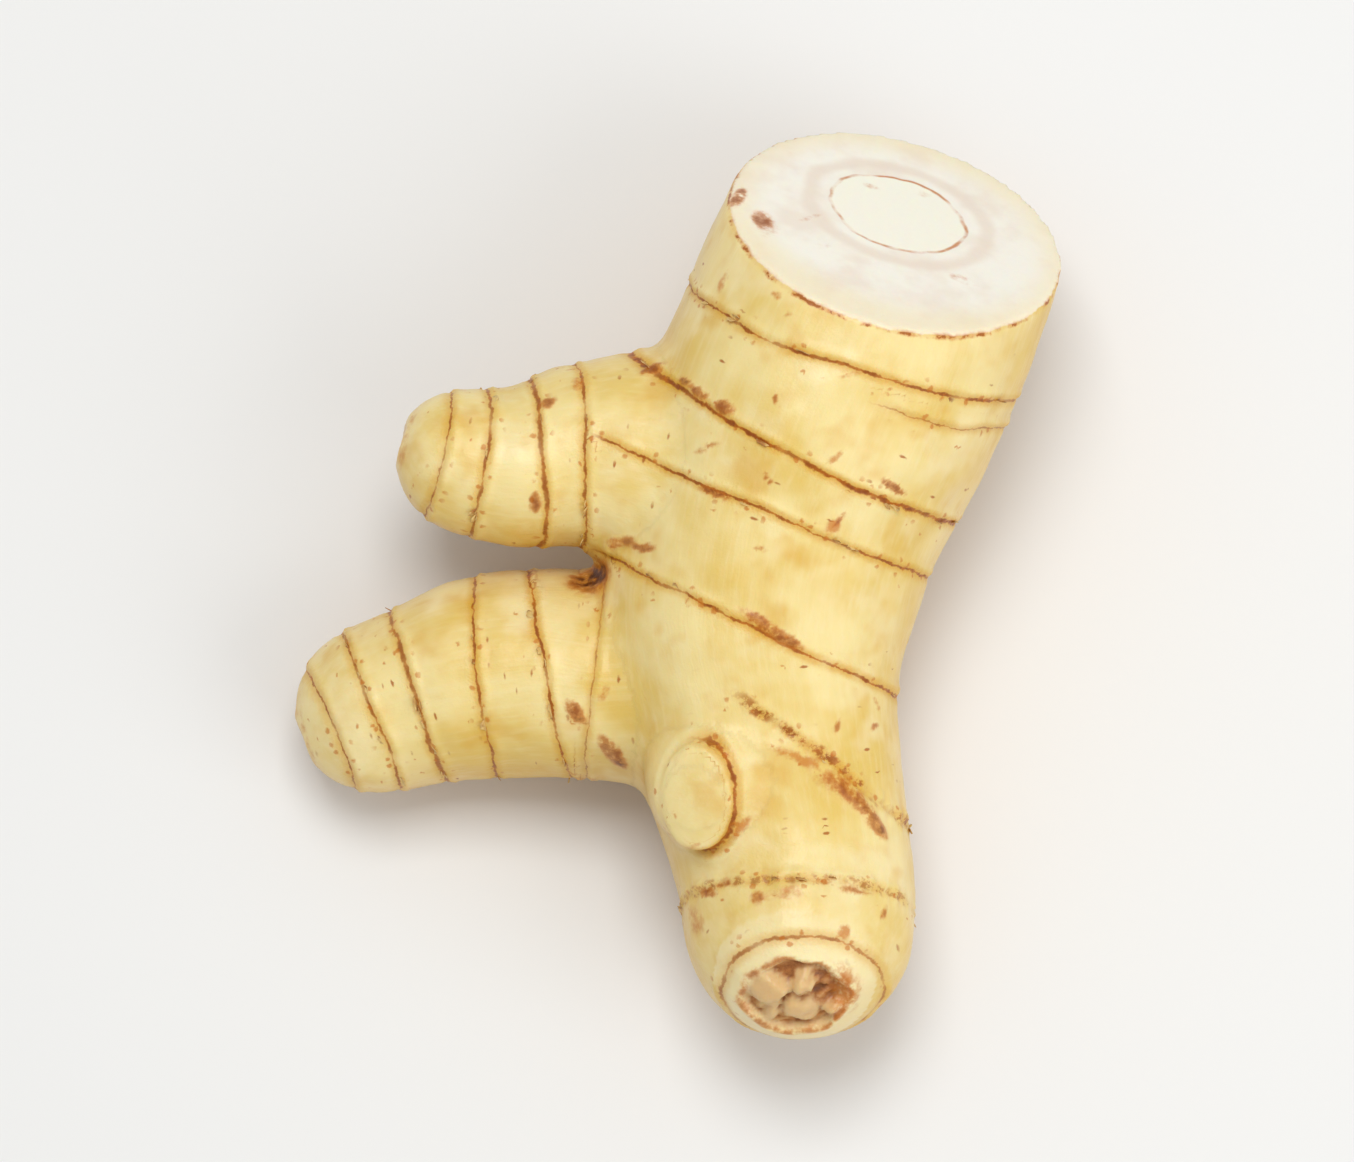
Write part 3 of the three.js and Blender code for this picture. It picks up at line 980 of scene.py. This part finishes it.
    def _specks(self, nodes: Nodes, grain: object, colour: object) -> bpy.types.NodeSocket:
        """Small brown dashes that lie across the growth, in loose groups."""
        across = nodes.stretched(grain, (0.22, 0.22, 0.55))
        cells = nodes.add("ShaderNodeTexVoronoi", {"Vector": across, "Scale": 1.0, "Randomness": 1.0})
        group = nodes.step(nodes.grains(grain, 0.14, 2.0), 0.46, 0.56)
        fine = nodes.math("MULTIPLY", nodes.grains(grain, 2.2, 3.0), 0.09)
        near = nodes.math("ADD", cells.outputs["Distance"], fine)
        dash = nodes.math("MULTIPLY", nodes.step(near, 0.165, 0.095), group)
        colour = nodes.blend(nodes.math("MULTIPLY", dash, 0.85), colour, self.russet)
        flecks = nodes.add("ShaderNodeTexVoronoi", {"Vector": grain, "Scale": 0.62, "Randomness": 1.0})
        ragged = nodes.math("MULTIPLY", nodes.grains(grain, 1.6, 4.0, 0.65), 0.45)
        fleck = nodes.step(nodes.math("ADD", flecks.outputs["Distance"], ragged), 0.46, 0.34)
        beside = nodes.step(nodes.math("ABSOLUTE", nodes.mark("scar_distance")), 1.75, 0.6)
        beside = nodes.math("MULTIPLY", beside, 0.7)
        return nodes.blend(nodes.math("MULTIPLY", fleck, beside), colour, self.orange)

    def _stains(self, nodes: Nodes, place: object, colour: object) -> bpy.types.NodeSocket:
        """The stains and the painted shade in the fork, each with a torn edge, from orange to nearly black.
        """
        fray = nodes.math("ADD", nodes.math("MULTIPLY", nodes.grains(place, 0.80, 4.0, 0.60), 2.5), -0.60)
        browner = nodes.math("ADD", nodes.mark(Tone.BROWN.value), nodes.mark(Tone.DARK.value))
        halo = nodes.step(nodes.math("MULTIPLY", browner, fray), 0.02, 0.40)
        colour = nodes.blend(nodes.math("MULTIPLY", halo, 0.72), colour, self.orange)
        tones = (
            (Tone.ORANGE, self.orange, 0.75),
            (Tone.BROWN, self.brown, 0.72),
            (Tone.DARK, self.dark, 0.90),
        )
        for tone, paint, most in tones:
            amount = nodes.math("MULTIPLY", nodes.mark(tone.value), fray)
            share = nodes.math("MULTIPLY", nodes.step(amount, 0.14, 0.80), most)
            colour = nodes.blend(share, colour, paint)
        return colour

    def _rim(self, nodes: Nodes, place: object, colour: object) -> bpy.types.NodeSocket:
        """The thin torn line where the skin ends at the cut."""
        height = self._cut_plane(nodes, place)[2]
        fray = nodes.math("MULTIPLY", nodes.math("SUBTRACT", nodes.grains(place, 0.9, 4.0), 0.5), 0.5)
        away = nodes.math("ABSOLUTE", nodes.math("ADD", nodes.math("ADD", height, fray), 0.36))
        patchy = nodes.step(nodes.grains(place, 0.45, 4.0, 0.65), 0.40, 0.60)
        line = nodes.math("MULTIPLY", nodes.step(away, 0.30, 0.05), nodes.math("ADD", patchy, 0.12))
        line = nodes.math("MINIMUM", line, 1.0)
        colour = nodes.blend(nodes.math("MULTIPLY", line, 0.85), colour, self.orange)
        return nodes.blend(nodes.math("MULTIPLY", nodes.step(line, 0.75, 1.0), 0.6), colour, self.brown)

    def _torn(self, nodes: Nodes, place: object, colour: object) -> bpy.types.NodeSocket:
        """Torn dry tissue: tan where it stands up, brown and then dark where it is deep."""
        uneven = nodes.grains(place, 0.8, 5.0, 0.65)
        torn = nodes.math("MULTIPLY", nodes.mark("torn"), nodes.math("ADD", uneven, 0.55))
        colour = nodes.blend(nodes.math("MINIMUM", torn, 0.95), colour, self.tan)
        deep = nodes.math("ADD", nodes.mark("torn_depth"), nodes.math("SUBTRACT", uneven, 0.5))
        colour = nodes.blend(nodes.math("MULTIPLY", nodes.step(deep, 0.25, 0.95), 0.80), colour, self.russet)
        return nodes.blend(nodes.math("MULTIPLY", nodes.step(deep, 0.75, 1.20), 0.80), colour, self.dark)

    def _cut_share(self, nodes: Nodes, place: object) -> bpy.types.NodeSocket:
        """How much of a point is flesh: all of it on the knife's plane, and none below its rim."""
        height = self._cut_plane(nodes, place)[2]
        fray = nodes.math("MULTIPLY", nodes.math("SUBTRACT", nodes.grains(place, 0.9, 4.0), 0.5), 0.5)
        return nodes.step(nodes.math("ADD", height, fray), -0.34, -0.20)

    def _cut_plane(self, nodes: Nodes, place: object) -> tuple[object, object, object]:
        """Right, up and outward from the middle of the cut face, in millimetres."""
        shifted = nodes.add("ShaderNodeVectorMath", {0: place, 1: CUT.middle}, operation="SUBTRACT")
        offset = shifted.outputs[0]
        parts = []
        for axis in CUT.directions():
            part = nodes.add("ShaderNodeVectorMath", {0: offset, 1: tuple(axis)}, operation="DOT_PRODUCT")
            parts.append(part.outputs["Value"])
        return parts[0], parts[1], parts[2]

    def _flesh(self, nodes: Nodes, place: object) -> bpy.types.NodeSocket:
        """The cut face: white outer flesh, an orange line and the cream core inside it."""
        right, up, _ = self._cut_plane(nodes, place)
        risen = nodes.math("SUBTRACT", up, self.core_up)
        stray = nodes.math("MULTIPLY", nodes.math("SUBTRACT", nodes.grains(place, 0.22, 2.0), 0.5), 1.6)
        radius = nodes.math("ADD", nodes.length(right, risen), stray)
        mottle = nodes.step(nodes.grains(place, 0.16, 3.0), 0.42, 0.72)
        colour = nodes.blend(nodes.math("MULTIPLY", mottle, 0.6), self.cortex, self.cortex_shade)
        from_middle = nodes.math("ADD", nodes.length(right, up), stray)
        edge_share = nodes.math("MULTIPLY", nodes.step(from_middle, 13.0, 18.0), 0.55)
        colour = nodes.blend(edge_share, colour, self.cortex_edge)
        ring = nodes.step(nodes.math("ABSOLUTE", nodes.math("SUBTRACT", radius, 9.4)), 1.5, 0.2)
        colour = nodes.blend(nodes.math("MULTIPLY", ring, 0.7), colour, self.cortex_shade)
        inside_core = nodes.step(radius, self.core_radius + 0.1, self.core_radius - 0.1)
        colour = nodes.blend(inside_core, colour, self.core)
        edge = nodes.math("ABSOLUTE", nodes.math("SUBTRACT", radius, self.core_radius))
        patchy = nodes.step(nodes.grains(place, 0.3, 3.0), 0.38, 0.62)
        outline = nodes.math("MULTIPLY", nodes.step(edge, 0.30, 0.06), nodes.math("ADD", patchy, 0.15))
        colour = nodes.blend(nodes.math("MULTIPLY", outline, 0.75), colour, self.orange)
        return colour

    def _gloss(self, nodes: Nodes, place: object, cut: object) -> None:
        """Sets how the surface shines and how light goes into it."""
        shader = nodes.shader
        patches = nodes.grains(place, 0.4, 3.0)
        waxy = nodes.add("ShaderNodeMapRange", {"Value": patches, "To Min": 0.26, "To Max": 0.46})
        scarred = nodes.math("MULTIPLY", nodes.mark("scar_ink"), 0.15)
        rough = nodes.math("ADD", waxy.outputs["Result"], scarred)
        nodes.feed(shader.inputs["Roughness"], nodes.math("ADD", rough, nodes.math("MULTIPLY", cut, 0.08)))
        shader.inputs["Subsurface Weight"].default_value = 0.35
        shader.inputs["Subsurface Radius"].default_value = (1.0, 0.62, 0.28)
        shader.inputs["Subsurface Scale"].default_value = 0.0022
        shader.inputs["Specular IOR Level"].default_value = 0.34
        shader.inputs["Coat Weight"].default_value = 0.16
        shader.inputs["Coat Roughness"].default_value = 0.20
        shader.inputs["IOR"].default_value = 1.42

    def _bump(self, nodes: Nodes, grain: object, place: object) -> None:
        """Adds the silky grain, pores and torn scar edges that are too fine for the mesh."""
        silk = nodes.grains(nodes.stretched(grain, (3.2, 3.2, 0.25)), 1.0, 2.0, 0.6)
        pores = nodes.grains(place, 1.8, 2.0, 0.6)
        torn = nodes.math("MULTIPLY", nodes.mark("scar_ink"), nodes.grains(place, 3.5, 1.0))
        height = nodes.math("ADD", nodes.math("MULTIPLY", silk, 0.5), nodes.math("MULTIPLY", pores, 0.5))
        height = nodes.math("ADD", height, nodes.math("MULTIPLY", torn, 1.4))
        bump = nodes.add("ShaderNodeBump", {"Height": height, "Strength": 0.5, "Distance": 0.00016})
        nodes.feed(nodes.shader.inputs["Normal"], bump.outputs["Normal"])


@dataclass(frozen=True)
class ShredFinish:
    """Dry papery shreds of scale leaf, straw-coloured with brown edges."""

    straw: Colour = srgb(226, 190, 120)
    brown: Colour = srgb(160, 100, 42)

    def material(self) -> bpy.types.Material:
        """Builds the material.

        Returns:
            The material.
        """
        nodes = Nodes("scale_leaf_shreds")
        where = nodes.add("ShaderNodeTexCoord").outputs["Object"]
        patches = nodes.step(nodes.grains(nodes.stretched(where, (1000.0,) * 3), 0.7, 3.0), 0.38, 0.66)
        nodes.feed(nodes.shader.inputs["Base Color"], nodes.blend(patches, self.straw, self.brown))
        nodes.shader.inputs["Roughness"].default_value = 0.62
        nodes.shader.inputs["Subsurface Weight"].default_value = 0.2
        nodes.shader.inputs["Subsurface Radius"].default_value = (1.0, 0.6, 0.3)
        nodes.shader.inputs["Subsurface Scale"].default_value = 0.0008
        return nodes.material


@dataclass
class Rhizome:
    """The rhizome's one skin.

    Attributes:
        growing_voxel: The face size while the shoots grow together, in millimetres.
        voxel: The face size of the finished skin, in millimetres.
        fork_rounds: How many times the forks are eased.
        skin_rounds: How many times the finished skin is eased.
        finish: Its finish.
        tree: Its finished surface, in millimetres, once it is built.
    """

    growing_voxel: float = 0.6
    voxel: float = 0.45
    fork_rounds: int = 22
    skin_rounds: int = 3
    finish: RhizomeFinish = RhizomeFinish()
    tree: BVHTree | None = None

    def build(self) -> bpy.types.Object:
        """Makes the rhizome.

        Returns:
            The finished piece, which rides on its body in place of its CAD node.
        """
        mesh = bpy.data.meshes.new("galangal_rhizome_skin")
        bench = self._grown()
        bench.to_mesh(mesh)
        bench.free()
        sculpt = Sculpt(mesh)
        sculpt.grain()
        sculpt.lump()
        sculpt.flatten_bud()
        sculpt.tip_crater()
        sculpt.shoot_tips()
        sculpt.scar_lines()
        sculpt.blemishes()
        sculpt.settle()
        sculpt.hollows()
        sculpt.store()
        self.tree = sculpt.surface_tree()
        return self._finished(mesh)

    def _grown(self) -> bmesh.types.BMesh:
        """The shoots grown together, cut, with the bud's cap on."""
        bench = bmesh.new()
        for shoot in SHOOTS:
            shoot.loft(bench)
        bmesh.ops.recalc_face_normals(bench, faces=bench.faces)
        bench = remeshed(bench, self.growing_voxel)
        eased(bench, self.fork_rounds)
        self._cut(bench)
        cap = bmesh.ops.create_uvsphere(bench, u_segments=32, v_segments=20, radius=1.0)["verts"]
        bmesh.ops.transform(bench, matrix=BUD_CAP.matrix(BUD_CAP_HALF_SIZES), verts=cap)
        bench = remeshed(bench, self.voxel)
        eased(bench, self.skin_rounds)
        return bench

    def _cut(self, bench: bmesh.types.BMesh) -> None:
        """Takes away what is past the knife's plane, and closes the cut face."""
        everything = [*bench.verts, *bench.edges, *bench.faces]
        outward = CUT.directions()[2]
        sliced = bmesh.ops.bisect_plane(bench, geom=everything, plane_co=CUT.middle, plane_no=outward,
                                        clear_outer=True)
        rim = [item for item in sliced["geom_cut"] if isinstance(item, bmesh.types.BMEdge)]
        bmesh.ops.holes_fill(bench, edges=rim, sides=0)

    def _finished(self, mesh: bpy.types.Mesh) -> bpy.types.Object:
        """The piece in metres, dressed and put on its body."""
        mesh.transform(Matrix.Scale(MILLIMETRE, 4))
        mesh.shade_smooth()
        mesh.materials.append(self.finish.material())
        piece = bpy.data.objects.new("rhizome", mesh)
        bpy.context.scene.collection.objects.link(piece)
        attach(piece, BODY)
        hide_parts(NODE)
        return piece


@dataclass
class Shreds:
    """The shreds of scale leaf that still stand on the leaf scars.

    Attributes:
        tree: The rhizome's surface, which they stand on.
        per_scar: How many stand on each leaf scar.
        thickness: The scale of their thickness, in millimetres.
        finish: Their finish.
    """

    tree: BVHTree
    per_scar: int = 14
    thickness: float = 0.13
    finish: ShredFinish = ShredFinish()

    def build(self) -> bpy.types.Object:
        """Makes the shreds.

        Returns:
            The finished piece, which holds every shred.
        """
        draw = random.Random(11)
        bench = bmesh.new()
        for leaf_scar in STEM_SCARS[:-1] + UPPER_SHOOT_SCARS[:-1] + LOWER_SHOOT_SCARS[:-1]:
            for _ in range(self.per_scar):
                self._shred(bench, leaf_scar, draw)
        bmesh.ops.recalc_face_normals(bench, faces=bench.faces)
        mesh = bpy.data.meshes.new("scale_leaf_shreds")
        bench.to_mesh(mesh)
        bench.free()
        mesh.transform(Matrix.Scale(MILLIMETRE, 4))
        mesh.shade_smooth()
        mesh.materials.append(self.finish.material())
        piece = bpy.data.objects.new("scale_leaf_shreds", mesh)
        bpy.context.scene.collection.objects.link(piece)
        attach(piece, BODY)
        return piece

    def _shred(self, bench: bmesh.types.BMesh, leaf_scar: LeafScar, draw: random.Random) -> None:
        """Adds one curled shred on a leaf scar.

        Args:
            bench: The mesh that takes it.
            leaf_scar: The scar that it stands on.
            draw: The source of its place and size.
        """
        right, up, forward = leaf_scar.seat.directions()
        angle = draw.uniform(0.0, 2.0 * math.pi)
        length, rise = draw.uniform(0.5, 1.9), draw.uniform(0.45, 0.95)
        lean = draw.uniform(-1.7, 1.7)
        outward = right * math.cos(angle) + up * math.sin(angle)
        reach = 60.0
        start = Vector(leaf_scar.seat.middle) + outward * reach
        hit, normal, _, _ = self.tree.ray_cast(start, -outward)
        keep_clear = 3.0
        if hit is None or (hit - start).length < reach - leaf_scar.reach or hit.z < keep_clear:
            return
        away = leaf_scar.distance(np.array([hit]))[0]
        foot = hit - forward * away - normal * 0.25
        along = normal.cross(forward).normalized()
        stand = (normal + forward * lean).normalized()
        thick = stand.cross(along).normalized()
        sides = Matrix((along * length, stand * rise, thick * self.thickness))
        placing = Matrix.Translation(foot) @ sides.transposed().to_4x4()
        sheet = bmesh.ops.create_grid(bench, x_segments=4, y_segments=3, size=0.5)["verts"]
        bmesh.ops.translate(bench, vec=(0.0, 0.5, 0.0), verts=sheet)
        curl, taper = draw.uniform(-4.5, 4.5), draw.uniform(0.2, 0.75)
        for vert in sheet:
            tear = 0.16 * draw.uniform(-1.0, 1.0)
            vert.co.z += curl * vert.co.y**2 + 1.2 * vert.co.x**2
            vert.co.x *= 1.0 - taper * vert.co.y
            vert.co.y *= 1.0 + tear
        faces = list({face for vert in sheet for face in vert.link_faces})
        walls = bmesh.ops.solidify(bench, geom=faces, thickness=0.5)["geom"]
        whole = {*sheet, *(item for item in walls if isinstance(item, bmesh.types.BMVert))}
        bmesh.ops.transform(bench, matrix=placing, verts=list(whole))


@dataclass(frozen=True)
class Softbox:
    """A studio light: its place, its width in metres, its power in watts, and what it aims at."""

    name: str
    place: Point
    width: float
    power: float
    aim: Point = (0.0, 0.0, 0.02)

    def build(self) -> None:
        """Hangs the light."""
        data = bpy.data.lights.new(self.name, "AREA")
        data.shape = "SQUARE"
        data.size = self.width
        data.energy = self.power
        lamp = bpy.data.objects.new(self.name, data)
        lamp.location = self.place
        lamp.rotation_euler = (Vector(self.aim) - Vector(self.place)).to_track_quat("-Z", "Y").to_euler()
        bpy.context.scene.collection.objects.link(lamp)


@dataclass(frozen=True)
class Studio:
    """The floor, the light and the camera.

    Attributes:
        elevation: How far above the horizon the camera looks from, in degrees.
        distance: How far the camera is from what it aims at, in metres.
        aim: What it aims at.
        field: How wide its view is there, in metres.
        floor_size: The floor's width, in metres.
        ambient: The strength of the light from all round.
        softboxes: The studio lights.
    """

    elevation: float = 80.0
    distance: float = 0.6
    aim: Point = (0.0, -0.0008, 0.018)
    field: float = 0.1376
    floor_size: float = 6.0
    ambient: float = 0.48
    softboxes: tuple[Softbox, ...] = (
        Softbox("key_softbox", (-0.02, 0.13, 0.57), 0.26, 1.6),
        Softbox("fill_softbox", (0.42, -0.30, 0.36), 0.50, 1.25),
    )

    def build(self) -> None:
        """Sets up the whole studio."""
        self._floor()
        self._world()
        for softbox in self.softboxes:
            softbox.build()
        self._camera()
        bpy.context.scene.view_settings.view_transform = "Standard"

    def _floor(self) -> None:
        """Lays the pale floor."""
        bench = bmesh.new()
        bmesh.ops.create_grid(bench, x_segments=1, y_segments=1, size=self.floor_size / 2)
        mesh = bpy.data.meshes.new("studio_floor")
        bench.to_mesh(mesh)
        bench.free()
        nodes = Nodes("studio_floor")
        nodes.shader.inputs["Base Color"].default_value = srgb(238, 238, 236)
        nodes.shader.inputs["Roughness"].default_value = 0.8
        mesh.materials.append(nodes.material)
        floor = bpy.data.objects.new("studio_floor", mesh)
        bpy.context.scene.collection.objects.link(floor)

    def _world(self) -> None:
        """Lights the studio from all round."""
        world = bpy.data.worlds.new("studio")
        world.use_nodes = True
        background = world.node_tree.nodes["Background"]
        background.inputs["Color"].default_value = (1.0, 1.0, 1.0, 1.0)
        background.inputs["Strength"].default_value = self.ambient
        bpy.context.scene.world = world

    def _camera(self) -> None:
        """Puts the camera over the rhizome."""
        data = bpy.data.cameras.new("camera")
        data.lens = data.sensor_width * self.distance / self.field
        data.clip_end = 20.0
        camera = bpy.data.objects.new("camera", data)
        angle = math.radians(self.elevation)
        back = Vector((0.0, -math.cos(angle), math.sin(angle)))
        camera.location = Vector(self.aim) + back * self.distance
        camera.rotation_euler = (-back).to_track_quat("-Z", "Y").to_euler()
        bpy.context.scene.collection.objects.link(camera)
        bpy.context.scene.camera = camera


def main() -> None:
    """Builds the studio and the rhizome."""
    logging.basicConfig(level=logging.INFO, format="%(name)s: %(message)s")
    Studio().build()
    rhizome = Rhizome()
    piece = rhizome.build()
    log.info("%s: %d faces", piece.name, len(piece.data.polygons))
    shreds = Shreds(rhizome.tree).build()
    log.info("%s: %d faces", shreds.name, len(shreds.data.polygons))


if __name__ == "__main__":
    main()
